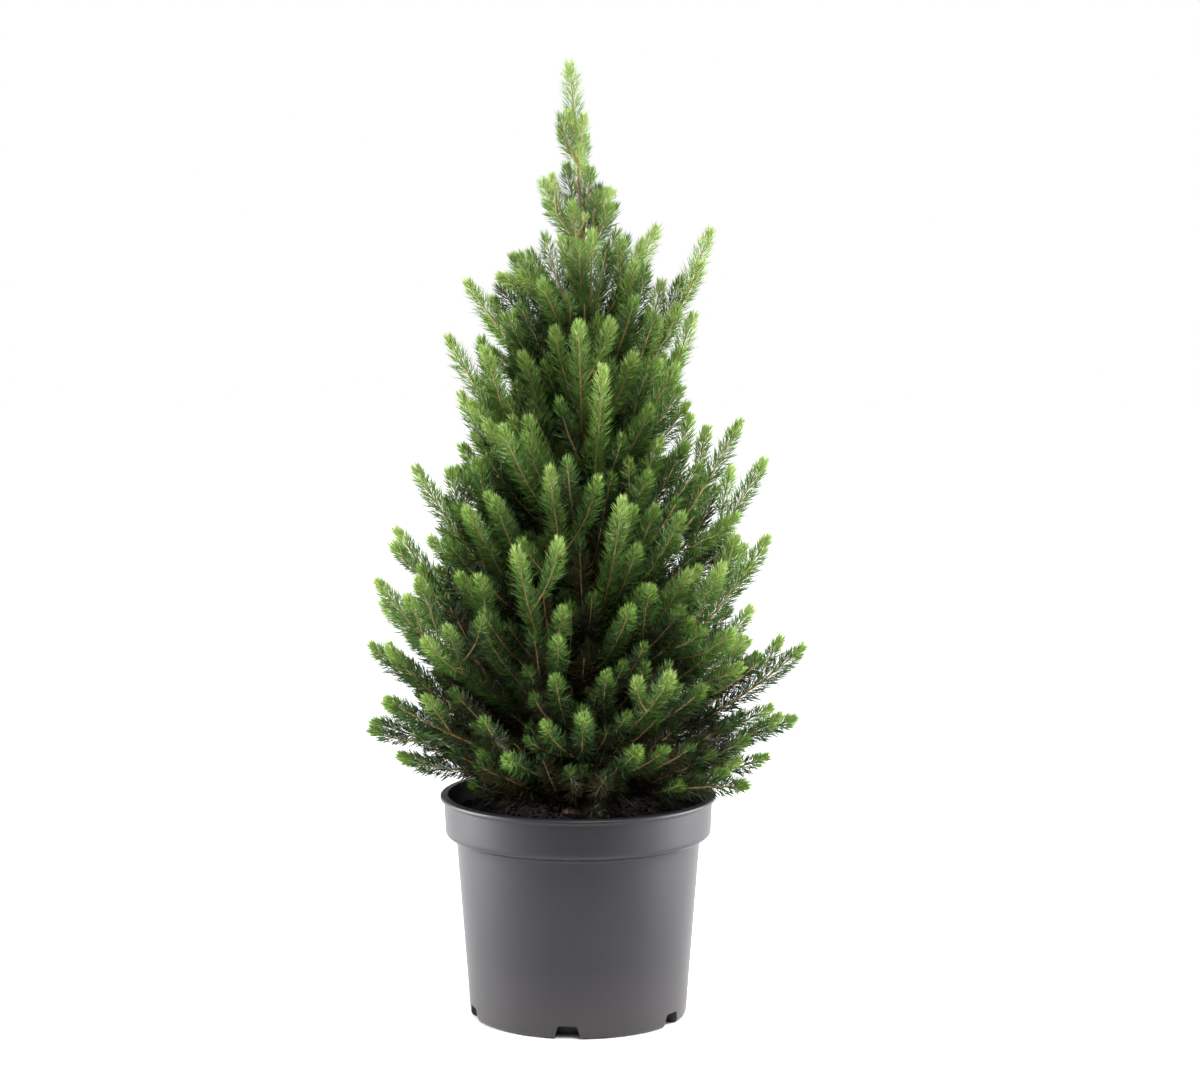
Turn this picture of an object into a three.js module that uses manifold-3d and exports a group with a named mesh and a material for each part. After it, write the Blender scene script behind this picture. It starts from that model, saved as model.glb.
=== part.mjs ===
// A dwarf white spruce in a round nursery pot: a straight leader, tiers of boughs that
// turn round the trunk, and a mass of needle shoots on each bough.
// Millimetres, +Z up. The origin is the middle of the pot's underside.
import * as THREE from 'three';
import Module from 'manifold-3d';
import { mergeVertices } from 'three/addons/utils/BufferGeometryUtils.js';

const wasm = await Module();
wasm.setup();

// Pot
const potHeight = 155;
const rimRadius = 95;          // outside of the rolled lip
const lipHeight = 3;
const collarRadius = 92.4;     // just under the lip
const collarFoot = 129;        // height of the collar's lower edge
const bodyTop = 84;            // radius where the body meets the collar
const bodyFoot = 75;           // radius just above the bottom edge
const footRadius = 70;         // ring that the pot stands on
const wall = 1.8;
const floorThickness = 3;
const roundSides = 36;

// Drain notches in the pot's bottom edge: three that face the front, then two behind, in degrees
const notchTurns = [-164, -95.4, -31, 44.7, 120.3];
const notchFoot = 18.4;
const notchTop = 13;
const notchHeight = 9.7;
const notchDepth = 17;
const drainRadius = 3.5;

// Soil
const soilLevel = 143;
const soilFall = 2;            // how much lower it lies at the wall

// Trunk
const trunkTop = 546;          // the leader's shoots take over here
const crownTop = 658;
const trunkFootRadius = 8;
const trunkTopRadius = 1.9;
const flare = 3.5;
const flareHeight = 7;
const trunkSway = 20;          // slow lean towards +X
const trunkReturn = 26;        // and back near the top
const trunkWave = 5;

// The crown's tiers, from the lowest up. Each has four boughs, in the order front (-Y),
// right (+X), back (+Y) and left (-X), all turned by the same angle in degrees.
// base: height where the first bough leaves the trunk. bow: how early the boughs rise.
// tips, reach: each bough's tip, as a height and as a distance from the pot's axis.
const tiers = [
  { base: 151, turn: -30, bow: 0.68, shoots: 3, tips: [201, 176, 192, 196], reach: [110, 129, 124, 163] },
  { base: 157, turn: 18, bow: 0.46, shoots: 4, tips: [207, 200, 200, 233], reach: [109, 166, 140, 141] },
  { base: 166, turn: -2, bow: 0.34, shoots: 4, tips: [232, 259, 251, 262], reach: [114, 157, 146, 144] },
  { base: 180, turn: 26, bow: 0.29, shoots: 5, tips: [258, 276, 288, 316], reach: [125, 143, 136, 156] },
  { base: 204, turn: -26, bow: 0.27, shoots: 5, tips: [341, 342, 326, 334], reach: [112, 140, 126, 139] },
  { base: 236, turn: 14, bow: 0.29, shoots: 4, tips: [372, 384, 372, 388], reach: [98, 139, 114, 118] },
  { base: 268, turn: -17, bow: 0.29, shoots: 4, tips: [392, 417, 424, 432], reach: [88, 115, 98, 85] },
  { base: 312, turn: 10, bow: 0.34, shoots: 4, tips: [457, 486, 456, 474], reach: [70, 85, 71, 93] },
  { base: 366, turn: -4, bow: 0.36, shoots: 3, tips: [486, 544, 526, 510], reach: [61, 93, 64, 78] },
  { base: 440, turn: 11, bow: 0.38, shoots: 2, tips: [545, 546, 539, 515], reach: [40, 59, 44, 57] },
  { base: 512, turn: -16, bow: 0.32, shoots: 1, tips: [564, 572, 587, 578], reach: [25, 24, 27, 28] },
];
const boughTiers = 3;          // lowest tiers whose boughs show bare and are nodes of their own
const footSpread = 5;          // degrees by which a bough leaves its tier's angle
const bendOut = 0.62;          // how far out along its run a bough of the lowest tier bends
const bendIn = 0.08;           // and how much nearer the trunk one of the highest does
const leastStem = 1.3;         // a bough's radius, with as much more as its length asks
const stemRun = 130;

// Shoots
const needleReach = 10.5;      // a main shoot's needles, from its axis
const sideReach = 10;
const leaderReach = 9.5;
const leaderClothed = 592;     // height above which the leader itself has needles
const tipReach = 8.5;          // the short shoots under the leader
const boughGrowth = 60;        // run over which a bough's needles reach their full length
const shootGrowth = 14;        // and a side shoot's
const tuft = 7;                // how far the last needles pass the shoot's end
const leastBareRun = 12;       // bare stem next to the trunk
const boughBareRun = 30;       // and on the bough tiers
const shootFork = 42;          // degrees between a side shoot and its bough
const forkSpread = 0.12;       // radians by which that fork varies
const turnSpread = 0.35;       // and by which the turn round the bough does
const bentOut = 0.45;          // the outer half of a side shoot: how much it keeps of the fork,
const bentAlong = 0.55;        // how much it follows its bough
const bentUp = 0.35;           // and how much it rises
const firstShoot = 0.04;       // where side shoots start on their bough's clothed run,
const shootRun = 0.74;         // over how much of that run they are spread
const placeSpread = 0.05;      // and by how much each is off its even place
const leaderFirst = 0.22;      // the same for the leader, on its whole length
const leaderRun = 0.42;
const boughShare = 0.72;       // length of the first side shoot, as a share of its bough,
const leaderShare = 0.3;       // and of the leader
const shareFall = 0.55;        // how much shorter one at the tip is
const spareLength = 8;         // added to every side shoot
const shortestShoot = 26;
const crownShare = 0.97;       // how far out a side shoot may end, as a share of its bough
const leastSpread = 26;        // the crown's radius at its top
const leaderDrop = 30;         // how far below the leader's tip its side shoots end
const boughRise = 6;           // how far above its bough's tip a side shoot may end
const siblingOverlap = 7;      // by which two shoots of one mass may reach into each other
const leaderOverlap = 13;
const plantSeed = 4320;
const leaderSeed = 2826;
const attempts = 12;           // places tried for one side shoot
const triedTurn = 60;          // degrees between them
const triedShare = 0.72;       // length of every second try
const clearance = 0.6;         // between one mass and the next
const limbGap = 0.3;           // between a limb and what it meets
const goldenAngle = 137.508;
const ringPitch = 15;          // needle rings on a solid
const bareRoot = 14;           // slim root of a side shoot among its bough's needles
const leaderRoot = 4;
const twigRadius = 1.3;

const deg = Math.PI / 180;
const up = new THREE.Vector3(0, 0, 1);

// ---------------------------------------------------------------- solids

// A closed solid from a geometry, with shared vertices merged.
function solidOf(geometry) {
  geometry.deleteAttribute('normal');
  geometry.deleteAttribute('uv');
  const merged = mergeVertices(geometry, 1e-4);
  const triangles = [];
  for (let i = 0; i < merged.index.count; i += 3) {
    const corners = [0, 1, 2].map((k) => merged.index.getX(i + k));
    if (new Set(corners).size === 3) triangles.push(...corners);
  }
  return new wasm.Manifold(new wasm.Mesh({
    numProp: 3,
    vertProperties: new Float32Array(merged.attributes.position.array),
    triVerts: new Uint32Array(triangles),
  }));
}

// Rings of points, closed at each end by a fan to one point.
function skin(rings, first, last) {
  const points = [...rings.flat(), first, last];
  const sides = rings[0].length;
  const firstIndex = points.length - 2;
  const lastIndex = points.length - 1;
  const index = [];
  rings.forEach((ring, i) => {
    for (let k = 0; k < sides; k += 1) {
      const here = i * sides + k;
      const beside = i * sides + ((k + 1) % sides);
      if (i === 0) index.push(firstIndex, beside, here);
      if (i === rings.length - 1) index.push(lastIndex, here, beside);
      else index.push(here, beside, beside + sides, here, beside + sides, here + sides);
    }
  });
  const geometry = new THREE.BufferGeometry();
  geometry.setFromPoints(points);
  geometry.setIndex(index);
  return solidOf(geometry);
}

function revolved(outline) {
  const points = outline.map(([radius, height]) => new THREE.Vector2(radius, height));
  return solidOf(new THREE.LatheGeometry(points, roundSides).rotateX(Math.PI / 2));
}

function joined(solids) {
  return solids.reduce((all, solid) => all.add(solid));
}

function meshOf(name, solid, color, roughness) {
  const { vertProperties, triVerts } = solid.getMesh();
  const geometry = new THREE.BufferGeometry();
  geometry.setAttribute('position', new THREE.BufferAttribute(vertProperties, 3));
  geometry.setIndex(new THREE.BufferAttribute(triVerts, 1));
  const mesh = new THREE.Mesh(geometry, new THREE.MeshStandardMaterial({ color, roughness, metalness: 0 }));
  mesh.name = name;
  return mesh;
}

// ---------------------------------------------------------------- curves and distances

// A path is a quadratic curve: its start, its control point and its end.
function pointOn([a, b, c], t) {
  return a.clone().multiplyScalar((1 - t) ** 2)
    .addScaledVector(b, 2 * t * (1 - t)).addScaledVector(c, t * t);
}

function directionOn([a, b, c], t) {
  const start = b.clone().sub(a).multiplyScalar(1 - t);
  return start.addScaledVector(c.clone().sub(b), t).normalize();
}

// The stretch of a path between two places on it.
function stretch(path, from, to) {
  const [a, b, c] = path;
  const middle = a.clone().multiplyScalar((1 - from) * (1 - to))
    .addScaledVector(b, from * (1 - to) + to * (1 - from)).addScaledVector(c, from * to);
  return [pointOn(path, from), middle, pointOn(path, to)];
}

function pathLength(path) {
  let length = 0;
  for (let i = 0; i < 12; i += 1) length += pointOn(path, i / 12).distanceTo(pointOn(path, (i + 1) / 12));
  return length;
}

// Two directions across a path, which stay the same way round along it.
function acrossPath(path, t) {
  const steep = Math.abs(path[2].clone().sub(path[0]).normalize().z) > 0.94;
  const along = directionOn(path, t);
  const level = steep ? new THREE.Vector3(1, 0, 0) : up;
  const side = level.clone().cross(along).normalize();
  return { along, side, over: along.clone().cross(side) };
}

function segmentGap(p, q, u, v) {
  const d1 = q.clone().sub(p);
  const d2 = v.clone().sub(u);
  const r = p.clone().sub(u);
  const a = d1.dot(d1);
  const e = d2.dot(d2);
  const f = d2.dot(r);
  const c = d1.dot(r);
  const b = d1.dot(d2);
  const det = a * e - b * b;
  let s = det > 1e-9 ? THREE.MathUtils.clamp((b * f - c * e) / det, 0, 1) : 0;
  let t = (b * s + f) / e;
  if (t < 0) {
    t = 0;
    s = THREE.MathUtils.clamp(-c / a, 0, 1);
  } else if (t > 1) {
    t = 1;
    s = THREE.MathUtils.clamp((b - c) / a, 0, 1);
  }
  return p.clone().addScaledVector(d1, s).distanceTo(u.clone().addScaledVector(d2, t));
}

// The free space between two rows of segments, each segment with its own radius.
function spaceBetween(rowA, rowB) {
  let space = Infinity;
  for (const one of rowA) {
    for (const other of rowB) {
      const gap = segmentGap(one.from, one.to, other.from, other.to);
      space = Math.min(space, gap - one.radius - other.radius);
    }
  }
  return space;
}

function segmentsOf(path, radiusAt, count) {
  const row = [];
  for (let i = 0; i < count; i += 1) {
    const radius = Math.max(radiusAt(i / count), radiusAt((i + 1) / count));
    row.push({ from: pointOn(path, i / count), to: pointOn(path, (i + 1) / count), radius });
  }
  return row;
}

// Repeatable chance: the same seed gives the same plant.
function seeded(start) {
  let state = start;
  return (range) => {
    state = (state * 1664525 + 1013904223) % 4294967296;
    return (2 * state / 4294967296 - 1) * range;
  };
}

// ---------------------------------------------------------------- growth

function trunkAt(height) {
  const rise = (height - soilLevel) / (crownTop - soilLevel);
  const x = trunkSway * rise ** 2 - trunkReturn * rise ** 4;
  return new THREE.Vector3(x, trunkWave * rise * Math.sin(4.4 * rise), height);
}

function trunkRadius(height) {
  const rise = (height - soilLevel) / (trunkTop - soilLevel);
  const foot = flare * Math.exp(-(height - soilLevel) / flareHeight);
  return trunkFootRadius + (trunkTopRadius - trunkFootRadius) * rise + foot;
}

// A shoot: a stem that is bare up to a place on its path, and from there on clothed in
// needles that grow longer over a given run.
function makeShoot(path, stem, bareTo, reach, growth) {
  const length = pathLength(stretch(path, bareTo, 1));
  const reachAt = (t) => reach * Math.min(1, 0.25 + t * length / growth);
  return {
    path,
    stem,
    bareTo,
    length,
    reachAt,
    bareRow: bareTo > 0 ? segmentsOf(stretch(path, 0, bareTo), () => stem, 3) : [],
    needleRow: segmentsOf(stretch(path, bareTo, 1), reachAt, 5),
  };
}

// Where a bough of this tier starts, how it bends and where it ends.
function boughPath(tierIndex, sideIndex, chance) {
  const tier = tiers[tierIndex];
  const nextBase = tierIndex + 1 < tiers.length ? tiers[tierIndex + 1].base : trunkTop - 10;
  const foot = trunkAt(tier.base + (nextBase - tier.base) * sideIndex / 4);
  const heading = (tier.turn + 90 * (sideIndex - 1) + chance(footSpread)) * deg;
  const out = new THREE.Vector3(Math.cos(heading), Math.sin(heading), 0);
  const end = out.clone().multiplyScalar(tier.reach[sideIndex] - tuft * 0.6);
  end.z = tier.tips[sideIndex] - tuft * 0.7;
  const run = end.clone().sub(foot).dot(out);
  const bend = foot.clone().addScaledVector(out, run * (bendOut - bendIn * tierIndex / tiers.length));
  bend.z += (end.z - foot.z) * tier.bow;
  return [foot, bend, end];
}

// Finds where the bough's bare run ends, and clothes the rest.
function clothe(mass) {
  const foot = mass.path[0];
  let start = 0;
  for (let run = 0; run < mass.bareRun; start += 1 / 60) {
    const point = pointOn(mass.path, start + 1 / 60);
    run = Math.hypot(point.x - foot.x, point.y - foot.y);
  }
  mass.main = makeShoot(mass.path, mass.stem, start, mass.reach, mass.growth);
}

function growMasses() {
  const sideNames = ['front', 'right', 'back', 'left'];
  const masses = [];
  tiers.forEach((tier, tierIndex) => {
    sideNames.forEach((sideName, sideIndex) => {
      const chance = seeded(plantSeed + 17 * tierIndex + 5 * sideIndex);
      const path = boughPath(tierIndex, sideIndex, chance);
      const last = tierIndex === tiers.length - 1;
      const bareRun = tierIndex < boughTiers ? boughBareRun : leastBareRun;
      masses.push({
        name: `tier_${String(tierIndex + 1).padStart(2, '0')}_${sideName}`,
        path,
        chance,
        stem: leastStem + pathLength(path) / stemRun,
        growth: Math.min(boughGrowth, 0.45 * pathLength(path)),
        tierIndex,
        sideIndex,
        shoots: tier.shoots,
        reach: last ? tipReach : needleReach,
        bareRun: last ? leastBareRun / 2 : bareRun,
      });
    });
  });
  masses.forEach(clothe);
  bareTheCrowded(masses);
  return masses;
}

// Where two boughs' needles would meet near the trunk, both stay bare a little further.
function bareTheCrowded(masses) {
  for (let round = 0; round < 12; round += 1) {
    const crowded = new Set();
    masses.forEach((one, i) => {
      for (const other of masses.slice(i + 1)) {
        const space = Math.min(
          spaceBetween(one.main.needleRow, other.main.needleRow),
          spaceBetween(one.main.needleRow, other.main.bareRow),
          spaceBetween(one.main.bareRow, other.main.needleRow),
        );
        if (space < clearance) crowded.add(one).add(other);
      }
    });
    for (const mass of crowded) {
      mass.bareRun += 3;
      clothe(mass);
    }
    if (crowded.size === 0) return;
  }
}

function makeLeader() {
  const path = [trunkAt(trunkTop + limbGap), trunkAt((trunkTop + crownTop) / 2), trunkAt(crownTop - tuft)];
  const start = (leaderClothed - trunkTop) / (crownTop - tuft - trunkTop);
  return {
    name: 'leader',
    path,
    chance: seeded(leaderSeed),
    tierIndex: tiers.length,
    sideIndex: 0,
    shoots: 6,
    reach: leaderReach,
    main: makeShoot(path, trunkTopRadius, start, leaderReach, shootGrowth),
  };
}

function overPot(row) {
  return row.every(({ from, to, radius }) => [from, to].every((point) => {
    const beyondSoil = Math.hypot(point.x, point.y) > rimRadius - 22;
    return point.z - radius > (beyondSoil ? potHeight + 1 : soilLevel + 3);
  }));
}

// A side shoot leaves its bough at a fork, then bends along it and upwards.
function sideShoot(mass, place, turn, fork, size) {
  const { path } = mass;
  const root = pointOn(path, place);
  const { along, side, over } = acrossPath(path, place);
  const out = side.multiplyScalar(Math.cos(turn)).addScaledVector(over, Math.sin(turn));
  const first = along.clone().multiplyScalar(Math.cos(fork)).addScaledVector(out, Math.sin(fork));
  const second = first.clone().multiplyScalar(bentOut).addScaledVector(along, bentAlong)
    .addScaledVector(up, bentUp).normalize();
  const bend = root.clone().addScaledVector(first, size / 2);
  const tip = bend.clone().addScaledVector(second, size / 2);
  return makeShoot([root, bend, tip], twigRadius, mass.sideRoot / size, mass.sideReach, shootGrowth);
}

function insideCrown(shoot, mass) {
  const tip = shoot.path[2];
  const end = mass.path[2];
  const spread = Math.max(crownShare * Math.hypot(end.x, end.y), leastSpread);
  return Math.hypot(tip.x, tip.y) < spread && tip.z < end.z - mass.drop;
}

// Shoots of one mass share their roots, so only their outer halves have to stand apart.
function standsApart(shoot, mass) {
  const outer = shoot.needleRow.slice(2);
  return spaceBetween(outer, mass.main.needleRow) > -mass.overlap
    && mass.sides.every((other) => spaceBetween(outer, other.needleRow) > -mass.overlap);
}

// Side shoots come in rounds, one for each mass in turn, and a shoot that would leave its
// space or touch another mass, a limb or the pot is turned, shortened and then left out.
function growShoots(masses, trunkRow) {
  masses.forEach((mass) => {
    const small = mass.tierIndex >= tiers.length - 1;
    const isLeader = mass.name === 'leader';
    mass.sideReach = small ? tipReach : sideReach;
    mass.sideRoot = isLeader ? leaderRoot : bareRoot;
    mass.drop = isLeader ? leaderDrop : -boughRise;
    mass.overlap = isLeader ? leaderOverlap : siblingOverlap;
    mass.shootShare = isLeader ? leaderShare : boughShare;
    mass.sides = [];
  });
  const rounds = Math.max(...masses.map((mass) => mass.shoots));
  for (let round = 0; round < rounds; round += 1) {
    for (const mass of masses.filter((one) => round < one.shoots)) {
      const along = firstShoot + shootRun * (round + 0.5) / mass.shoots + mass.chance(placeSpread);
      const { bareTo } = mass.main;
      const onBough = bareTo + (1 - bareTo) * along;
      const place = mass.name === 'leader' ? leaderFirst + leaderRun * along : onBough;
      const turn = goldenAngle * deg * (round + mass.sideIndex) + mass.chance(turnSpread);
      const fork = shootFork * deg + mass.chance(forkSpread);
      const grownShare = mass.shootShare - shareFall * along;
      const size = Math.max(shortestShoot, mass.main.length * grownShare + spareLength);
      const obstacles = masses.filter((other) => other !== mass)
        .flatMap((other) => [other.main, ...other.sides].map((one) => [...one.bareRow, ...one.needleRow]));
      obstacles.push(trunkRow);
      const fits = (shoot) => overPot(shoot.needleRow)
        && insideCrown(shoot, mass) && standsApart(shoot, mass)
        && obstacles.every((row) => spaceBetween([...shoot.bareRow, ...shoot.needleRow], row) > clearance);
      let grown = null;
      for (let attempt = 0; attempt < attempts && !grown; attempt += 1) {
        const share = attempt % 2 ? triedShare : 1;
        const turned = turn + Math.floor(attempt / 2) * triedTurn * deg;
        const shoot = sideShoot(mass, place, turned, fork, size * share);
        if (fits(shoot)) grown = shoot;
      }
      if (grown) mass.sides.push(grown);
    }
  }
}

// ---------------------------------------------------------------- pot and soil

function potOutline() {
  return [
    [0, 0], [footRadius, 0], [footRadius + 3.6, 1.4], [bodyFoot, 6],
    [bodyTop, collarFoot - 4], [collarRadius - 4.4, collarFoot - 2.4], [collarRadius - 1.9, collarFoot],
    [collarRadius - 1.2, collarFoot + 3], [collarRadius, potHeight - lipHeight - 0.5],
    [rimRadius - 0.4, potHeight - lipHeight], [rimRadius, potHeight - lipHeight / 2],
    [rimRadius - 0.8, potHeight], [0, potHeight],
  ];
}

// The inside of the wall, a given distance in from it.
function hollowOutline(inset, top) {
  const shelf = collarFoot + 2;
  const collarInside = collarRadius - wall - 0.8 - inset;
  return [
    [0, floorThickness + inset], [bodyFoot - wall - 1 - inset, floorThickness + inset],
    [bodyTop - wall - inset, shelf - 5 + inset], [collarInside, shelf + inset],
    [collarInside, top], [0, top],
  ];
}

// A block in the shape of a drain notch, grown by a margin on every side but its mouth.
function notchBlock(turn, margin) {
  const below = 4;
  const half = (height) => (notchFoot + (notchTop - notchFoot) * height / notchHeight) / 2 + margin;
  const outline = new THREE.Shape([
    new THREE.Vector2(-half(-below), -below), new THREE.Vector2(half(-below), -below),
    new THREE.Vector2(half(notchHeight), notchHeight + margin),
    new THREE.Vector2(-half(notchHeight), notchHeight + margin),
  ]);
  const depth = notchDepth + 12 + margin;
  const block = new THREE.ExtrudeGeometry(outline, { depth, bevelEnabled: false, steps: 1 });
  block.rotateX(Math.PI / 2).rotateZ(Math.PI / 2);
  block.translate(bodyFoot - notchDepth - margin, 0, 0);
  return solidOf(block.rotateZ(turn * deg));
}

function drainHole(turn) {
  const hole = new THREE.CylinderGeometry(drainRadius, drainRadius, 2 * notchHeight, 12);
  hole.rotateX(Math.PI / 2).translate(bodyFoot - notchDepth + drainRadius + 3, 0, notchHeight);
  return solidOf(hole.rotateZ(turn * deg));
}

function makePot() {
  let hollow = revolved(hollowOutline(0, potHeight + 5));
  for (const turn of notchTurns) hollow = hollow.subtract(notchBlock(turn, wall));
  let pot = revolved(potOutline()).subtract(hollow);
  for (const turn of notchTurns) pot = pot.subtract(notchBlock(turn, 0)).subtract(drainHole(turn));
  return pot;
}

function makeSoil() {
  const outline = hollowOutline(limbGap, soilLevel - soilFall);
  outline.pop();
  outline.push([bodyTop - 24, soilLevel - 0.4], [bodyTop - 44, soilLevel], [0, soilLevel]);
  let soil = revolved(outline);
  for (const turn of notchTurns) soil = soil.subtract(notchBlock(turn, wall + limbGap));
  return soil;
}

// ---------------------------------------------------------------- trunk, boughs and masses

function ring(centre, side, over, radii, twist) {
  return radii.map((radius, k) => {
    const angle = 2 * Math.PI * k / radii.length + twist;
    return centre.clone().addScaledVector(side, radius * Math.cos(angle))
      .addScaledVector(over, radius * Math.sin(angle));
  });
}

function makeTrunk(margin) {
  const sides = 10;
  const foot = soilLevel + limbGap;
  const flareHeights = [0, 2.5, 6, 11, 18].map((rise) => foot + rise);
  const steps = 14;
  const heights = [...flareHeights];
  for (let i = 1; i <= steps; i += 1) heights.push(foot + 18 + (trunkTop - foot - 18) * i / steps);
  const x = new THREE.Vector3(1, 0, 0);
  const y = new THREE.Vector3(0, 1, 0);
  const rings = heights.map((height, i) => {
    const ridges = Math.max(0, 1 - i / 3) * 0.12;
    const radius = trunkRadius(height) + margin;
    const radii = Array.from({ length: sides }, (_, k) => radius * (1 + (k % 2 ? ridges : -ridges)));
    return ring(trunkAt(height), x, y, radii, 0);
  });
  return skin(rings, trunkAt(foot), trunkAt(trunkTop));
}

// A round limb along a path, thinning from one radius to the other.
function limb(path, startRadius, endRadius, sides, steps) {
  const rings = [];
  for (let i = 0; i <= steps; i += 1) {
    const { side, over } = acrossPath(path, i / steps);
    const radius = startRadius + (endRadius - startRadius) * i / steps;
    rings.push(ring(pointOn(path, i / steps), side, over, Array(sides).fill(radius), 0));
  }
  return skin(rings, path[0], path[2]);
}

// A shoot's solid: its bare stem, then a slim core with teeth that lean forwards, four
// corners to a ring, where every second one is a tooth and the next ring's stand between.
function spray(shoot) {
  const { path, bareTo, stem, length, reachAt } = shoot;
  const rings = [];
  const bareSteps = 2;
  for (let i = 0; i < bareSteps && bareTo > 0; i += 1) {
    const { side, over } = acrossPath(path, bareTo * i / bareSteps);
    rings.push(ring(pointOn(path, bareTo * i / bareSteps), side, over, Array(4).fill(stem), 0));
  }
  const count = Math.max(2, Math.round(length / ringPitch));
  for (let i = 0; i <= count; i += 1) {
    const place = bareTo + (1 - bareTo) * i / count;
    const { along, side, over } = acrossPath(path, place);
    const reach = reachAt(i / count) * (i === count ? 0.8 : 1);
    const isTooth = (k) => (k + i) % 2 === 0;
    const radii = [0, 1, 2, 3].map((k) => (isTooth(k) ? reach : Math.max(stem, reach * 0.34)));
    const points = ring(pointOn(path, place), side, over, radii, 0.45 * i);
    points.forEach((point, k) => point.addScaledVector(along, isTooth(k) ? reach * 0.3 : 0));
    rings.push(points);
  }
  return skin(rings, path[0], pointOn(path, 1).addScaledVector(directionOn(path, 1), tuft));
}

const trunkRow = [];
for (let i = 0; i < 12; i += 1) {
  const low = soilLevel + (trunkTop - soilLevel) * i / 12;
  const high = soilLevel + (trunkTop - soilLevel) * (i + 1) / 12;
  trunkRow.push({ from: trunkAt(low), to: trunkAt(high), radius: trunkRadius(low + 6) });
}

const leader = makeLeader();
const masses = [...growMasses(), leader];
growShoots(masses, trunkRow);

const spruce = new THREE.Group();
const bark = '#6b4a33';
const needleGreens = ['#2f4a1e', '#3f6327', '#547a2e'];
spruce.add(meshOf('pot', makePot(), '#4a494c', 0.5));
spruce.add(meshOf('soil', makeSoil(), '#1c1612', 0.95));
spruce.add(meshOf('trunk', makeTrunk(0), bark, 0.9));

const trunkClear = makeTrunk(limbGap);
for (const mass of masses) {
  const { main, name, stem, tierIndex } = mass;
  const sides = mass.sides.map(spray);
  const color = needleGreens[tierIndex % needleGreens.length];
  if (tierIndex < boughTiers) {
    const seat = main.bareTo;
    const bough = limb(stretch(main.path, 0, seat), stem * 1.25, stem, 6, 3).subtract(trunkClear);
    spruce.add(meshOf(`${name}_bough`, bough, bark, 0.9));
    const from = seat + limbGap / pathLength(main.path);
    const bareTo = 5 / pathLength(main.path);
    const clothed = makeShoot(stretch(main.path, from, 1), stem, bareTo, mass.reach, mass.growth);
    spruce.add(meshOf(name, joined([spray(clothed), ...sides]), color, 0.7));
  } else {
    const clear = name === 'leader' ? spray(main) : spray(main).subtract(trunkClear);
    spruce.add(meshOf(name, joined([clear, ...sides]), color, 0.7));
  }
}

export default spruce;
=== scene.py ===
import math

import bmesh
import bpy
import numpy as np
from mathutils import Matrix, Vector, noise


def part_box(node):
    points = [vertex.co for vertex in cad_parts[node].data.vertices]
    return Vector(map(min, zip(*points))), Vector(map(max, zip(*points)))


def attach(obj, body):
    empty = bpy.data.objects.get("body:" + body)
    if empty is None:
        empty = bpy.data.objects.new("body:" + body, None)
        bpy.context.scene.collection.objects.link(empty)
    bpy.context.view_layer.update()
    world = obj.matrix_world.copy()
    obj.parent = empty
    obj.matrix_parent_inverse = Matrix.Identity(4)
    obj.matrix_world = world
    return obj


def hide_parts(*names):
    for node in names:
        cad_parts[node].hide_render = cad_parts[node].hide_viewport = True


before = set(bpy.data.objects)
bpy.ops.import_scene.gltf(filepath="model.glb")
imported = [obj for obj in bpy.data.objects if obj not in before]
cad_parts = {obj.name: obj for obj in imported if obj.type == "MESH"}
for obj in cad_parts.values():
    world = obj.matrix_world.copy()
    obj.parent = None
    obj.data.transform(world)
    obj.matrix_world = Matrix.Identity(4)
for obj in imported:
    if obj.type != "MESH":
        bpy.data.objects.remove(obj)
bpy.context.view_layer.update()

scene = bpy.context.scene
mm = 0.001
# places closer than this, in millimetres, are the same
near = 0.01
print("frame loaded:", len(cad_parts), "nodes")


def toLinear(colour):
    # sRGB hex to the linear values that a shader takes
    parts = [int(colour[i:i + 2], 16) / 255 for i in (1, 3, 5)]
    linear = [p / 12.92 if p <= 0.04045 else ((p + 0.055) / 1.055) ** 2.4 for p in parts]
    return (*linear, 1)


def addNode(material, kind, settings=None, links=None):
    # settings: an input's value or the node's own setting; links: input -> (node, output)
    node = material.node_tree.nodes.new(kind)
    for name, value in (settings or {}).items():
        if hasattr(node, str(name)):
            setattr(node, name, value)
        else:
            node.inputs[name].default_value = value
    for name, (source, output) in (links or {}).items():
        material.node_tree.links.new(source.outputs[output], node.inputs[name])
    return node


def addNoise(material, place, size, **settings):
    # size: of its patches, in millimetres
    return addNode(material, "ShaderNodeTexNoise", {"Scale": 1 / (size * mm), **settings}, {"Vector": place})


def addRamp(material, source, ends):
    # ends: a value of the source and its colour, twice
    ramp = addNode(material, "ShaderNodeValToRGB", links={"Fac": (source, "Fac")})
    for element, (value, colour) in zip(ramp.color_ramp.elements, ends):
        element.position = value
        element.color = toLinear(colour)
    return ramp


def addRelief(material, shader, source, strength, depth):
    # unevenness that is too fine for the mesh
    bump = addNode(material, "ShaderNodeBump", {"Strength": strength, "Distance": depth * mm},
                   {"Height": (source, "Fac")})
    material.node_tree.links.new(bump.outputs["Normal"], shader.inputs["Normal"])


def newMaterial(name, colour, **settings):
    material = bpy.data.materials.new(name)
    material.use_nodes = True
    shader = material.node_tree.nodes["Principled BSDF"]
    shader.inputs["Base Color"].default_value = toLinear(colour)
    for key, value in settings.items():
        shader.inputs[key].default_value = value
    return material, shader


def addPiece(name, mesh, materials, replaced):
    piece = bpy.data.objects.new(name, mesh)
    scene.collection.objects.link(piece)
    for material in materials:
        mesh.materials.append(material)
    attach(piece, "root")
    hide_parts(*replaced)
    print(name, "has", sum(len(p.vertices) - 2 for p in mesh.polygons), "triangles")


# camera: a long lens, about level with the plant's top and tilted down
view = {"place": (0.015, -2.6, 0.678), "tiltDown": 7.69, "lens": 115.3, "sensor": 36, "farthest": 100}

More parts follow.
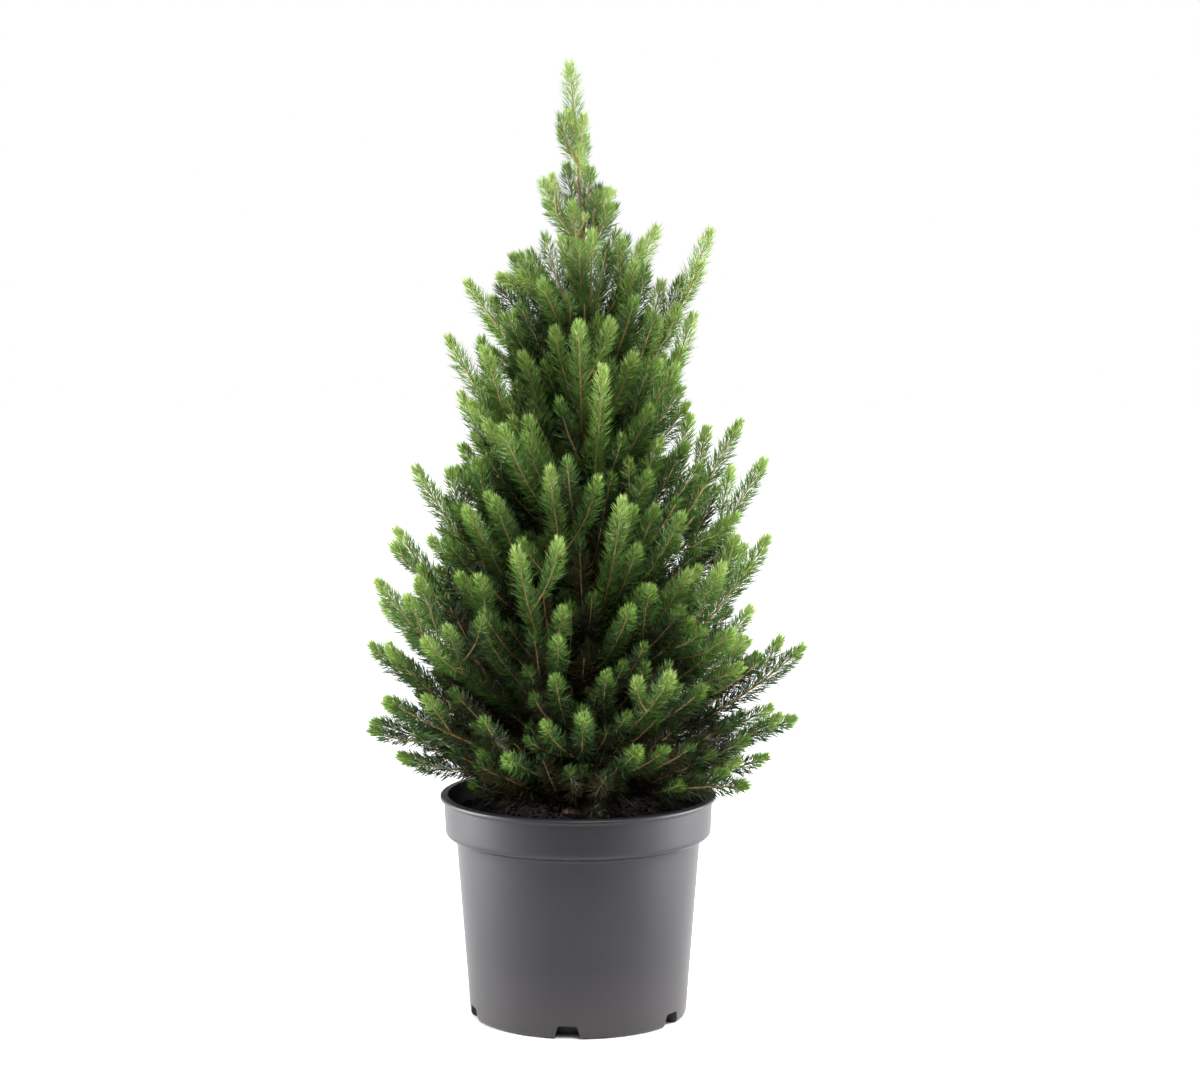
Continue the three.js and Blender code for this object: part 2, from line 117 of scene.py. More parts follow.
cameraData = bpy.data.cameras.new("camera")
cameraData.lens = view["lens"]
cameraData.sensor_width = view["sensor"]
cameraData.clip_end = view["farthest"]
camera = bpy.data.objects.new("camera", cameraData)
camera.location = view["place"]
camera.rotation_euler = (math.radians(90 - view["tiltDown"]), 0, 0)
scene.collection.objects.link(camera)
scene.camera = camera

# the plant's measures and its rule of growth, in millimetres from the middle of the pot's foot;
# angles are in degrees, but forkSpread and turnSpread in radians, here and below
plant = {
    "soilLevel": 143, "trunkTop": 546, "crownTop": 658,
    "trunkFootRadius": 8, "trunkTopRadius": 1.9, "flare": 3.5, "flareHeight": 7,
    "sway": 20, "swayBack": 26, "wave": 5, "waveTurn": 4.4, "trunkParts": 12, "flareSpare": 6,
    "needleReach": 10.5, "sideReach": 10, "leaderReach": 9.5, "tipReach": 8.5,
    "leaderClothed": 592, "boughGrowth": 60, "growthShare": 0.45, "shootGrowth": 14, "rootReach": 0.25,
    "tuft": 7, "tuftAcross": 0.6, "tuftUp": 0.7, "topReach": 8,
    # a bough: how far out it bends, in the lowest tier and less in the highest, and its stem
    "boughTiers": 3, "footSpread": 5, "bendOut": 0.62, "bendIn": 0.08, "leastStem": 1.3, "stemRun": 130,
    "lastTierRun": 10, "leastBareRun": 12, "boughBareRun": 30, "bareStep": 3, "baringRounds": 12,
    # a side shoot: its fork, then how much it keeps of that, follows its bough and rises
    "fork": 42, "forkSpread": 0.12, "turnSpread": 0.35, "bentOut": 0.45, "bentAlong": 0.55, "bentUp": 0.35,
    # where side shoots start, on a bough's clothed run and on the leader
    "firstShoot": 0.04, "shootRun": 0.74, "placeSpread": 0.05, "leaderFirst": 0.22, "leaderRun": 0.42,
    # their lengths, as shares of the bough or the leader, and how far they may reach
    "boughShare": 0.72, "leaderShare": 0.3, "shareFall": 0.55, "spareLength": 8, "shortestShoot": 26,
    "crownShare": 0.97, "leastSpread": 26, "leaderDrop": 30, "boughRise": 6,
    "attempts": 12, "triedTurn": 60, "triedShare": 0.72,
    "siblingOverlap": 7, "leaderOverlap": 13, "clearance": 0.6, "limbGap": 0.3,
    "bareRoot": 14, "leaderRoot": 4, "twigRadius": 1.3, "plantSeed": 4320, "leaderSeed": 2826,
    # room over the soil, and over the rim from a little inside it
    "rimRadius": 95, "potHeight": 155, "insideRim": 22, "overRim": 1, "overSoil": 3,
}
# how many points stand for a curve
samples = {"length": 13, "bare": 4, "clothed": 6, "axis": 5, "start": 60}
sideNames = ["front", "right", "back", "left"]
# tips: how high each side's bough ends; reach: how far out; bow: where it bends, as a share of its rise
tierKeys = ("base", "turn", "bow", "shoots", "tips", "reach")
tiers = [dict(zip(tierKeys, row)) for row in (
    (151, -30, 0.68, 3, [201, 176, 192, 196], [110, 129, 124, 163]),
    (157, 18, 0.46, 4, [207, 200, 200, 233], [109, 166, 140, 141]),
    (166, -2, 0.34, 4, [232, 259, 251, 262], [114, 157, 146, 144]),
    (180, 26, 0.29, 5, [258, 276, 288, 316], [125, 143, 136, 156]),
    (204, -26, 0.27, 5, [341, 342, 326, 334], [112, 140, 126, 139]),
    (236, 14, 0.29, 4, [372, 384, 372, 388], [98, 139, 114, 118]),
    (268, -17, 0.29, 4, [392, 417, 424, 432], [88, 115, 98, 85]),
    (312, 10, 0.34, 4, [457, 486, 456, 474], [70, 85, 71, 93]),
    (366, -4, 0.36, 3, [486, 544, 526, 510], [61, 93, 64, 78]),
    (440, 11, 0.38, 2, [545, 546, 539, 515], [40, 59, 44, 57]),
    (512, -16, 0.32, 1, [564, 572, 587, 578], [25, 24, 27, 28]),
)]
goldenAngle = math.radians(137.508)
up = np.array([0.0, 0.0, 1.0])


def unit(vectors):
    return vectors / np.linalg.norm(vectors, axis=-1, keepdims=True)


def pointOn(path, t):
    a, b, c = path
    t = np.asarray(t, float)[..., None]
    return a * (1 - t) ** 2 + b * (2 * t * (1 - t)) + c * t ** 2


def stretch(path, start, end):
    a, b, c = path
    middle = a * ((1 - start) * (1 - end)) + b * (start * (1 - end) + end * (1 - start)) + c * (start * end)
    return np.array([pointOn(path, start), middle, pointOn(path, end)])


def pathLength(path):
    points = pointOn(path, np.linspace(0, 1, samples["length"]))
    return float(np.linalg.norm(np.diff(points, axis=0), axis=1).sum())


def acrossPath(path, t):
    # the direction along a path and two across it that stay the same way round
    a, b, c = path
    t = np.asarray(t, float)[..., None]
    along = unit((b - a) * (1 - t) + (c - b) * t)
    steepest = 0.94
    upright = abs(unit(c - a)[2]) > steepest
    side = unit(np.cross([1.0, 0.0, 0.0] if upright else up, along))
    return along, side, np.cross(along, side)


def segmentsOf(path, radii):
    points = pointOn(path, np.linspace(0, 1, len(radii)))
    return points[:-1], points[1:], np.maximum(radii[:-1], radii[1:])


def joinRows(rows):
    return tuple(np.concatenate(parts) for parts in zip(*rows))


def spaceBetween(rowA, rowB):
    # free space between two rows of segments, each segment with its own radius
    p, q, radiusA = rowA
    u, v, radiusB = rowB
    if not len(p) or not len(u):
        return math.inf
    d1 = (q - p)[:, None]
    d2 = (v - u)[None]
    r = p[:, None] - u[None]
    a = (d1 * d1).sum(-1)
    e = (d2 * d2).sum(-1)
    f = (d2 * r).sum(-1)
    c = (d1 * r).sum(-1)
    b = (d1 * d2).sum(-1)
    det = a * e - b * b
    crossing = det > 1e-9
    s = np.where(crossing, np.clip((b * f - c * e) / np.where(crossing, det, 1), 0, 1), 0)
    t = (b * s + f) / e
    s = np.where(t < 0, np.clip(-c / a, 0, 1), np.where(t > 1, np.clip((b - c) / a, 0, 1), s))
    t = np.clip(t, 0, 1)
    gap = np.linalg.norm(r + d1 * s[..., None] - d2 * t[..., None], axis=-1)
    return float((gap - radiusA[:, None] - radiusB[None]).min())


def seeded(start):
    # repeatable chance: the same seed gives the same plant
    state = [start]

    def draw(spread):
        state[0] = (state[0] * 1664525 + 1013904223) % 4294967296
        return (2 * state[0] / 4294967296 - 1) * spread
    return draw


def trunkAt(height):
    rise = (height - plant["soilLevel"]) / (plant["crownTop"] - plant["soilLevel"])
    x = plant["sway"] * rise ** 2 - plant["swayBack"] * rise ** 4
    return np.array([x, plant["wave"] * rise * math.sin(plant["waveTurn"] * rise), height])


def trunkRadius(height):
    above = height - plant["soilLevel"]
    rise = above / (plant["trunkTop"] - plant["soilLevel"])
    radius = plant["trunkFootRadius"] + (plant["trunkTopRadius"] - plant["trunkFootRadius"]) * rise
    return radius + plant["flare"] * math.exp(-above / plant["flareHeight"])


def makeShoot(path, stem, bareTo, reach, growth):
    clothed = stretch(path, bareTo, 1)
    length = pathLength(clothed)
    run = np.linspace(0, 1, samples["clothed"]) * length
    reaches = reach * np.minimum(1, plant["rootReach"] + run / growth)
    bare = segmentsOf(stretch(path, 0, bareTo), np.full(samples["bare"], stem))
    return {
        "path": path, "stem": stem, "bareTo": bareTo, "length": length, "reach": reach,
        "bareRow": bare, "needleRow": segmentsOf(clothed, reaches),
    }


def boughPath(tierIndex, sideIndex, draw):
    tier = tiers[tierIndex]
    bases = [*[one["base"] for one in tiers], plant["trunkTop"] - plant["lastTierRun"]]
    nextBase = bases[tierIndex + 1]
    foot = trunkAt(tier["base"] + (nextBase - tier["base"]) * sideIndex / len(sideNames))
    heading = math.radians(tier["turn"] + 90 * (sideIndex - 1) + draw(plant["footSpread"]))
    out = np.array([math.cos(heading), math.sin(heading), 0])
    end = out * (tier["reach"][sideIndex] - plant["tuft"] * plant["tuftAcross"])
    end[2] = tier["tips"][sideIndex] - plant["tuft"] * plant["tuftUp"]
    run = (end - foot) @ out
    bend = foot + out * (run * (plant["bendOut"] - plant["bendIn"] * tierIndex / len(tiers)))
    bend[2] += (end[2] - foot[2]) * tier["bow"]
    return np.array([foot, bend, end])


def clothe(mass):
    # finds where the bough's bare run ends, and clothes the rest
    foot = mass["path"][0]
    start = 0
    run = 0
    while run < mass["bareRun"]:
        start += 1 / samples["start"]
        point = pointOn(mass["path"], start)
        run = math.hypot(point[0] - foot[0], point[1] - foot[1])
    mass["main"] = makeShoot(mass["path"], mass["stem"], start, mass["reach"], mass["growth"])


def bareTheCrowded(masses):
    for _ in range(plant["baringRounds"]):
        crowded = set()
        for i, one in enumerate(masses):
            for k in range(i + 1, len(masses)):
                a, b = one["main"], masses[k]["main"]
                pairs = [("needleRow", "needleRow"), ("needleRow", "bareRow"), ("bareRow", "needleRow")]
                if min(spaceBetween(a[m], b[n]) for m, n in pairs) < plant["clearance"]:
                    crowded.update((i, k))
        for i in crowded:
            masses[i]["bareRun"] += plant["bareStep"]
            clothe(masses[i])
        if not crowded:
            return


def growMasses():
    masses = []
    for tierIndex, tier in enumerate(tiers):
        for sideIndex, sideName in enumerate(sideNames):
            draw = seeded(plant["plantSeed"] + 17 * tierIndex + 5 * sideIndex)
            path = boughPath(tierIndex, sideIndex, draw)
            last = tierIndex == len(tiers) - 1
            onBough = tierIndex < plant["boughTiers"]
            bareRun = plant["boughBareRun"] if onBough else plant["leastBareRun"]
            masses.append({
                "name": f"tier_{tierIndex + 1:02d}_{sideName}", "path": path, "draw": draw,
                "stem": plant["leastStem"] + pathLength(path) / plant["stemRun"],
                "growth": min(plant["boughGrowth"], plant["growthShare"] * pathLength(path)),
                "tierIndex": tierIndex, "sideIndex": sideIndex, "shoots": tier["shoots"],
                "reach": plant["tipReach"] if last else plant["needleReach"],
                "bareRun": plant["leastBareRun"] / 2 if last else bareRun,
            })
    for mass in masses:
        clothe(mass)
    bareTheCrowded(masses)
    return masses


def makeLeader():
    top = plant["crownTop"] - plant["tuft"]
    middle = (plant["trunkTop"] + plant["crownTop"]) / 2
    path = np.array([trunkAt(plant["trunkTop"] + plant["limbGap"]), trunkAt(middle), trunkAt(top)])
    start = (plant["leaderClothed"] - plant["trunkTop"]) / (top - plant["trunkTop"])
    return {
        "name": "leader", "path": path, "draw": seeded(plant["leaderSeed"]),
        "tierIndex": len(tiers), "sideIndex": 0, "shoots": 6, "stem": plant["trunkTopRadius"],
        "main": makeShoot(path, plant["trunkTopRadius"], start, plant["leaderReach"], plant["shootGrowth"]),
    }


def overPot(row):
    starts, ends, radii = row
    for points in (starts, ends):
        beyondSoil = np.hypot(points[:, 0], points[:, 1]) > plant["rimRadius"] - plant["insideRim"]
        overRim = plant["potHeight"] + plant["overRim"]
        least = np.where(beyondSoil, overRim, plant["soilLevel"] + plant["overSoil"])
        if (points[:, 2] - radii <= least).any():
            return False
    return True


def insideCrown(shoot, mass):
    tip = shoot["path"][2]
    end = mass["path"][2]
    spread = max(plant["crownShare"] * math.hypot(end[0], end[1]), plant["leastSpread"])
    return math.hypot(tip[0], tip[1]) < spread and tip[2] < end[2] - mass["drop"]


def standsApart(shoot, mass):
    outer = tuple(part[2:] for part in shoot["needleRow"])
    others = [mass["main"], *mass["sides"]]
    return all(spaceBetween(outer, other["needleRow"]) > -mass["overlap"] for other in others)


def sideShoot(path, place, turn, fork, size, bareRoot, reach, rise):
    # leaves its bough at a fork, then bends along it and upwards
    root = pointOn(path, place)
    along, side, over = acrossPath(path, place)
    out = side * math.cos(turn) + over * math.sin(turn)
    first = along * math.cos(fork) + out * math.sin(fork)
    second = unit(first * plant["bentOut"] + along * plant["bentAlong"] + up * rise)
    bend = root + first * (size / 2)
    tip = bend + second * (size / 2)
    path = np.array([root, bend, tip])
    return makeShoot(path, plant["twigRadius"], bareRoot / size, reach, plant["shootGrowth"])


def rowOf(shoot):
    return joinRows([shoot["bareRow"], shoot["needleRow"]])


def growShoots(masses, trunkRow):
    for mass in masses:
        top = mass["name"] == "leader"
        mass["sideReach"] = plant["tipReach"] if mass["tierIndex"] >= len(tiers) - 1 else plant["sideReach"]
        mass["sideRoot"] = plant["leaderRoot"] if top else plant["bareRoot"]
        mass["drop"] = plant["leaderDrop"] if top else -plant["boughRise"]
        mass["overlap"] = plant["leaderOverlap"] if top else plant["siblingOverlap"]
        mass["shootShare"] = plant["leaderShare"] if top else plant["boughShare"]
        mass["sides"] = []
        mass["rows"] = [rowOf(mass["main"])]
    for shootRound in range(max(mass["shoots"] for mass in masses)):
        for mass in [m for m in masses if shootRound < m["shoots"]]:
            draw, main = mass["draw"], mass["main"]
            along = plant["firstShoot"] + plant["shootRun"] * (shootRound + 0.5) / mass["shoots"]
            along += draw(plant["placeSpread"])
            place = main["bareTo"] + (1 - main["bareTo"]) * along
            if mass["name"] == "leader":
                place = plant["leaderFirst"] + plant["leaderRun"] * along
            turn = goldenAngle * (shootRound + mass["sideIndex"]) + draw(plant["turnSpread"])
            fork = math.radians(plant["fork"]) + draw(plant["forkSpread"])
            size = main["length"] * (mass["shootShare"] - plant["shareFall"] * along) + plant["spareLength"]
            size = max(plant["shortestShoot"], size)
            obstacles = joinRows([trunkRow, *[row for m in masses if m is not mass for row in m["rows"]]])
            for attempt in range(plant["attempts"]):
                share = plant["triedShare"] if attempt % 2 else 1
                tried = turn + attempt // 2 * math.radians(plant["triedTurn"])
                shoot = sideShoot(mass["path"], place, tried, fork, size * share,
                                  mass["sideRoot"], mass["sideReach"], plant["bentUp"])
                clear = overPot(shoot["needleRow"]) and insideCrown(shoot, mass)
                clear = clear and standsApart(shoot, mass)
                if clear and spaceBetween(rowOf(shoot), obstacles) > plant["clearance"]:
                    mass["sides"].append(shoot)
                    mass["rows"].append(rowOf(shoot))
                    break


trunkHeights = [plant["soilLevel"] + (plant["trunkTop"] - plant["soilLevel"]) * i / plant["trunkParts"]
                for i in range(plant["trunkParts"] + 1)]
trunkPoints = np.array([trunkAt(height) for height in trunkHeights])
trunkRadii = np.array([trunkRadius(height + plant["flareSpare"]) for height in trunkHeights[:-1]])
trunkRow = (trunkPoints[:-1], trunkPoints[1:], trunkRadii)

masses = [*growMasses(), makeLeader()]
growShoots(masses, trunkRow)
print("boughs:", len(masses), "side shoots:", sum(len(mass["sides"]) for mass in masses))

# how far out the crown reaches at a height, from the tips of its tiers
tierHeights = [sum(tier["tips"]) / len(sideNames) for tier in tiers]
crownHeights = [plant["potHeight"], *tierHeights, plant["crownTop"]]
tierReach = [sum(tier["reach"]) / len(sideNames) for tier in tiers]
crownReach = [tierReach[0], *tierReach, plant["topReach"]]

# lesser boughs leave the trunk between the tiers, and finer twigs fork again from every bough
# and side shoot, both where the crown still has room between the axes of what has grown already
lesser = {
    "count": 340, "seed": 5041, "tries": 6, "low": 150, "high": 480, "crowding": 1.9,
    "stem": 1.5, "root": 6, "reach": 9.5, "bendOut": 0.6, "bendUp": 0.3, "turnSpread": 0.5,
    # room: between axes, from this share of a bough on outwards
    "room": 4.6, "outer": 0.5,
    # span: as a share of the crown's reach a little above the bough's foot
    "leastSpan": 0.52, "spanSpread": 0.24, "spanAbove": 30,
    # how steeply they rise, at three heights on the trunk
    "heights": [150, 200, 400], "rises": [0.32, 0.6, 1.1], "riseSpread": 0.15,
    # each goes with the bough whose middle is nearest to this share of its own length
    "nearest": 0.7, "boughMiddle": 0.5,
}
finer = {
    "rounds": 14, "seed": 4204, "tries": 9, "shortest": 34, "longest": 108, "triedFall": 0.6,
    "fork": 28, "forkSpread": 0.2, "turnSpread": 0.5, "rise": 0.4, "straight": 0.8, "droop": 8,
    "root": 7, "reach": 9.5, "room": 7.4, "topRoom": 5, "outer": 0.45, "spread": 0.84, "slim": 0.4,
    "firstPlace": 0.42, "placeSpread": 0.36,
}


def axisRow(shoot, start=0.0):
    points = pointOn(shoot["path"], np.linspace(start, 1, samples["axis"]))
    return points[:-1], points[1:], np.zeros(samples["axis"] - 1)


def slimRow(shoot):
    # a shoot whose needles may brush the soil and the rim
    starts, ends, radii = shoot["needleRow"]
    return starts, ends, radii * finer["slim"]


def growLesser(masses, axes):
    draw = seeded(lesser["seed"])
    for number in range(lesser["count"]):
        taken = joinRows(axes)
        for attempt in range(lesser["tries"]):
            share = (number + 0.5 + draw(0.5)) / lesser["count"]
            height = lesser["low"] + (lesser["high"] - lesser["low"]) * share ** lesser["crowding"]
            turn = goldenAngle * number + draw(lesser["turnSpread"]) + attempt
            span = np.interp(height + lesser["spanAbove"], crownHeights, crownReach)
            span *= lesser["leastSpan"] + draw(lesser["spanSpread"])
            out = np.array([math.cos(turn), math.sin(turn), 0])
            foot = trunkAt(height)
            steepness = np.interp(height, lesser["heights"], lesser["rises"]) + draw(lesser["riseSpread"])
            rise = span * steepness
            bend = foot + out * span * lesser["bendOut"] + up * rise * lesser["bendUp"]
            path = np.array([foot, bend, foot + out * span + up * rise])
            bareTo = lesser["root"] / pathLength(path)
            bough = makeShoot(path, lesser["stem"], bareTo, lesser["reach"], plant["shootGrowth"])
            roomy = spaceBetween(axisRow(bough, lesser["outer"]), taken) > lesser["room"]
            if roomy and overPot(slimRow(bough)):
                place = pointOn(path, lesser["nearest"])
                middles = [pointOn(mass["path"], lesser["boughMiddle"]) for mass in masses]
                gaps = [np.linalg.norm(middle - place) for middle in middles]
                masses[int(np.argmin(gaps))]["twigs"].append(bough)
                axes.append(axisRow(bough))
                break


def shootsOf(mass):
    return [mass["main"], *mass["sides"], *mass["twigs"]]


def growTwigs(masses, axes):
    draw = seeded(finer["seed"])
    for twigRound in range(finer["rounds"]):
        for mass in masses:
            parents = shootsOf(mass)
            parent = parents[twigRound % len(parents)]
            taken = joinRows(axes)
            end = mass["path"][2]
            spread = max(finer["spread"] * math.hypot(end[0], end[1]), plant["leastSpread"])
            room = finer["topRoom"] if mass["tierIndex"] >= len(tiers) - 1 else finer["room"]
            for attempt in range(finer["tries"]):
                place = finer["firstPlace"] + draw(finer["placeSpread"])
                turn = goldenAngle * (twigRound * finer["tries"] + attempt) + draw(finer["turnSpread"])
                share = 1 - attempt / finer["tries"] * finer["triedFall"]
                share *= 0.5 + draw(0.5)
                size = finer["shortest"] + (finer["longest"] - finer["shortest"]) * share
                fork = math.radians(finer["fork"]) + draw(finer["forkSpread"])
                twig = sideShoot(parent["path"], place, turn, fork, size,
                                 finer["root"], finer["reach"], finer["rise"])
                root, _, tip = twig["path"]
                inside = math.hypot(tip[0], tip[1]) < spread and tip[2] < end[2] - mass["drop"]
                legs = unit(np.diff(twig["path"], axis=0))
                grown = legs[0] @ legs[1] > finer["straight"] and tip[2] > root[2] - finer["droop"]
                roomy = spaceBetween(axisRow(twig, finer["outer"]), taken) > room
                roomy = roomy and overPot(slimRow(twig))
                if inside and grown and roomy:
                    mass["twigs"].append(twig)
                    axes.append(axisRow(twig))
                    break


axes = [trunkRow]
for mass in masses:
    mass["twigs"] = []
    axes.extend(axisRow(shoot) for shoot in shootsOf(mass))
growLesser(masses, axes)
print("lesser boughs:", sum(len(mass["twigs"]) for mass in masses))
growTwigs(masses, axes)
print("lesser boughs and finer twigs:", sum(len(mass["twigs"]) for mass in masses))


def meshFromArrays(name, points, faces, slots):
    # faces: index arrays, each for faces with one number of corners; slots: a slot number for each face
    mesh = bpy.data.meshes.new(name)
    corners = np.concatenate([face.ravel() for face in faces]).astype(np.int32)
    totals = np.concatenate([np.full(len(face), face.shape[1]) for face in faces]).astype(np.int32)
    mesh.vertices.add(len(points))
    mesh.vertices.foreach_set("co", (points * mm).astype(np.float32).ravel())
    mesh.loops.add(len(corners))
    mesh.loops.foreach_set("vertex_index", corners)
    mesh.polygons.add(len(totals))
    mesh.polygons.foreach_set("loop_start", np.concatenate([[0], np.cumsum(totals)[:-1]]).astype(np.int32))
    mesh.polygons.foreach_set("material_index", np.concatenate(slots).astype(np.int32))
    mesh.update(calc_edges=True)
    mesh.validate()
    return mesh


# needles: narrow blades, bent a little towards the shoot's end
needle = {
    "seed": 20, "mostInPiece": 95000,
    # length at a shoot's tip, its full length, and the run over which it gets there
    "tipLength": 7.2, "length": 12.6, "lengthRun": 20, "rootShare": 0.55, "rootRun": 50,
    "lengthSpread": (0.76, 1.1), "bend": 0.48, "bendForward": 0.5, "outset": 0.5, "lift": 0.08,
    # how many there are and half their breadth, on a young shoot and on an old one inside the crown
    "youngAndOld": [0.1, 0.4], "perMm": [9, 6.2], "radius": [0.35, 0.43],
    # the tuft at the tip, thinner on a shoot older than a certain tone
    "tuftRun": 9.5, "tuftShare": 0.5, "tuftPerMm": 9, "oldTone": 0.3, "oldTuft": 0.4, "tuftCrowding": 1.3,
    # the angle from their shoot, and how it and the turn round the shoot vary
    "tipLean": 27, "tipLeanSpread": 13, "moreLeanSpread": 10, "turnSpread": 0.9, "skew": [0.31, 0.52, 0.79],
    # fuller lower down and slimmer at the top: at three heights
    "heights": [250, 440, 570], "leans": [58, 54, 57], "fullness": [1.1, 1, 1], "slims": [1, 1, 0.66],
}
# how needles darken: with age from a shoot's end inwards, with age and painted shade from the crown's
# surface inwards, and with painted shade low down; inner: its share inside the crown, less near the top;
# fades: how much of a shoot's own age shows
needleAgeAndShade = {
    "fromEnd": [0, 6, 13, 30, 80], "ages": [0, 0.1, 0.42, 0.55, 0.7], "spread": 0.13,
    "outward": [0.25, 0.5, 0.8], "inner": [0.8, 0.5, 0],
    "innerHeights": [260, 440], "innerShares": [1, 0.36],
    # painted shade: shoots low in the crown get a darker tone, for the shade under the boughs
    "paintedShadeHeights": [160, 300], "low": [0.2, 0],
    "twigs": (0.05, 0.4), "shoots": (-0.04, 0.08),
    "fadeHeights": [240, 400, 560], "fades": [1, 0.74, 0.45],
}
# greens from a new tip to an old needle deep in the crown; the darkest also stand for painted shade
needleColours = [
    "#a2b96a", "#8daa58", "#779646", "#628139", "#516e30", "#405d27", "#2e481d", "#1c2f14", "#34331a",
]
# the older groups also hold the painted shade of needles deep inside and low in the crown
needleGroups = {"new": (0, 1, 2), "fresh": (3, 4), "mature": (5, 6), "old": (7, 8)}


def needlesOf(shoot, tone, fade, chance):
    # places, directions and tones of the needles of one shoot
    length = shoot["length"]
    fullness, stand, slim = [np.interp(shoot["path"][2][2], needle["heights"], needle[key])
                             for key in ("fullness", "leans", "slims")]
    perMm, radius = [np.interp(tone, needle["youngAndOld"], needle[key]) for key in ("perMm", "radius")]
    body = int(length * fullness * perMm)
    tuftRun = min(needle["tuftRun"], needle["tuftShare"] * length)
    inTuft = int(tuftRun * needle["tuftPerMm"] * (1 if tone < needle["oldTone"] else needle["oldTuft"]))
    t = (np.arange(body) + chance.rand(body)) / body
    t = np.concatenate([t, 1 - chance.rand(inTuft) ** needle["tuftCrowding"] * tuftRun / length])
    fromEnd = (1 - t) * length
    ease = np.clip(fromEnd / tuftRun, 0, 1)
    ease = ease * ease * (3 - 2 * ease)
    lean = needle["tipLean"] + (stand - needle["tipLean"]) * ease
    leanSpread = needle["tipLeanSpread"] + needle["moreLeanSpread"] * ease
    lean = np.radians(lean + chance.uniform(-1, 1, len(t)) * leanSpread)
    grown = np.clip(fromEnd / needle["lengthRun"], 0, 1)
    size = needle["tipLength"] + (needle["length"] - needle["tipLength"]) * grown
    size = size * np.minimum(1, needle["rootShare"] + t * length / needle["rootRun"])
    size = size * chance.uniform(*needle["lengthSpread"], len(t))
    turnSpread = needle["turnSpread"]
    around = goldenAngle * np.arange(len(t)) + chance.uniform(-turnSpread, turnSpread, len(t))
    place = shoot["bareTo"] + (1 - shoot["bareTo"]) * t
    along, side, over = acrossPath(shoot["path"], place)
    radial = side * np.cos(around)[:, None] + over * np.sin(around)[:, None]
    out = unit(along * np.cos(lean)[:, None] + radial * np.sin(lean)[:, None] + up * needle["lift"])
    forward = unit(out + along * needle["bendForward"])
    root = pointOn(shoot["path"], place) + radial * needle["outset"]
    # the shoot's tone brings painted shade from inside and low in the crown, along with its age
    ageAndShade = tone + fade * np.interp(fromEnd, needleAgeAndShade["fromEnd"], needleAgeAndShade["ages"])
    ageAndShade = np.clip(ageAndShade + chance.uniform(-needleAgeAndShade["spread"], needleAgeAndShade["spread"], len(t)), 0, 0.999)
    return root, out, forward, size, np.full(len(t), slim * radius), (ageAndShade * len(needleColours)).astype(int)


def toneOf(shoot, mass, chance):
    # shoots inside the crown are older than those at its surface, and darker by age and painted shade;
    # low down, a painted shade darkens them further
    tip = shoot["path"][2]
    outward = math.hypot(tip[0], tip[1]) / np.interp(tip[2], crownHeights, crownReach)
    inner = float(np.interp(outward, needleAgeAndShade["outward"], needleAgeAndShade["inner"]))
    inner *= float(np.interp(tip[2], needleAgeAndShade["innerHeights"], needleAgeAndShade["innerShares"]))
    # painted shade low down: a darker tone near the foot of the crown
    low = float(np.interp(tip[2], needleAgeAndShade["paintedShadeHeights"], needleAgeAndShade["low"]))
    onTwig = chance.uniform(*needleAgeAndShade["twigs"]) if any(shoot is one for one in mass["twigs"]) else 0
    return inner + low + onTwig + chance.uniform(*needleAgeAndShade["shoots"])


chance = np.random.RandomState(needle["seed"])
gathered = []
for massIndex, mass in enumerate(masses):
    fade = float(np.interp(mass["path"][2][2], needleAgeAndShade["fadeHeights"], needleAgeAndShade["fades"]))
    for shoot in shootsOf(mass):
        found = needlesOf(shoot, toneOf(shoot, mass, chance), fade, chance)
        gathered.append((*found, np.full(len(found[3]), massIndex)))
roots, outs, forwards, sizes, radii, tones, owners = [np.concatenate(parts) for parts in zip(*gathered)]
print("needles:", len(roots))

needleMaterials = []
for number, colour in enumerate(needleColours):
    # a needle's waxy skin: a soft, narrow shine on green that darkens with age and with painted shade
    material, _ = newMaterial(f"spruce_needle_{number + 1}", colour, Roughness=0.5, IOR=1.36)
    needleMaterials.append(material)


def needleMesh(name, chosen, groupTones):
    # each needle: a point at its root, one on either side of its middle and a tip
    root, out, forward = roots[chosen], outs[chosen], forwards[chosen]
    size, radius = sizes[chosen][:, None], radii[chosen][:, None]
    roll = (goldenAngle * np.arange(len(root)))[:, None]
    level = unit(np.cross(out, needle["skew"]))
    across = level * np.cos(roll) + np.cross(out, level) * np.sin(roll)
    middle = root + out * size * needle["bend"]
    tip = middle + forward * size * (1 - needle["bend"])
    half = across * radius
    points = np.stack([root, middle + half, middle - half, tip], axis=1).reshape(-1, 3)
    first = np.arange(len(root))[:, None] * 4
    faces = np.concatenate([first + [0, 2, 1], first + [1, 2, 3]])
    slots = np.searchsorted(groupTones, tones[chosen])
    return meshFromArrays(name, points, [faces], [np.tile(slots, 2)])


for groupName, groupTones in needleGroups.items():
    inGroup = np.flatnonzero(np.isin(tones, groupTones))
    parts = max(1, math.ceil(len(inGroup) / needle["mostInPiece"]))
    for number, chosen in enumerate(np.array_split(inGroup, parts)):
        name = f"needles_{groupName}_{number + 1}"
        replaced = [masses[i]["name"] for i in np.unique(owners[chosen])]
        materials = [needleMaterials[i] for i in groupTones]
        addPiece(name, needleMesh(name, chosen, groupTones), materials, replaced)

# twigs: the stems inside the needles, yellow-brown where young and darker where old
twig = {
    "sides": 5, "step": 9, "tipRadius": 0.42, "youngRun": 70, "slim": 0.62, "taper": 1.3,
    # where a bark-covered bough's own twig starts, as a share of its bare run
    "insideBark": 0.9,
}
youngTwig, _ = newMaterial("young_spruce_twig", "#9a7c4c", Roughness=0.7)
oldTwig, _ = newMaterial("old_spruce_twig", "#644d38", Roughness=0.85)


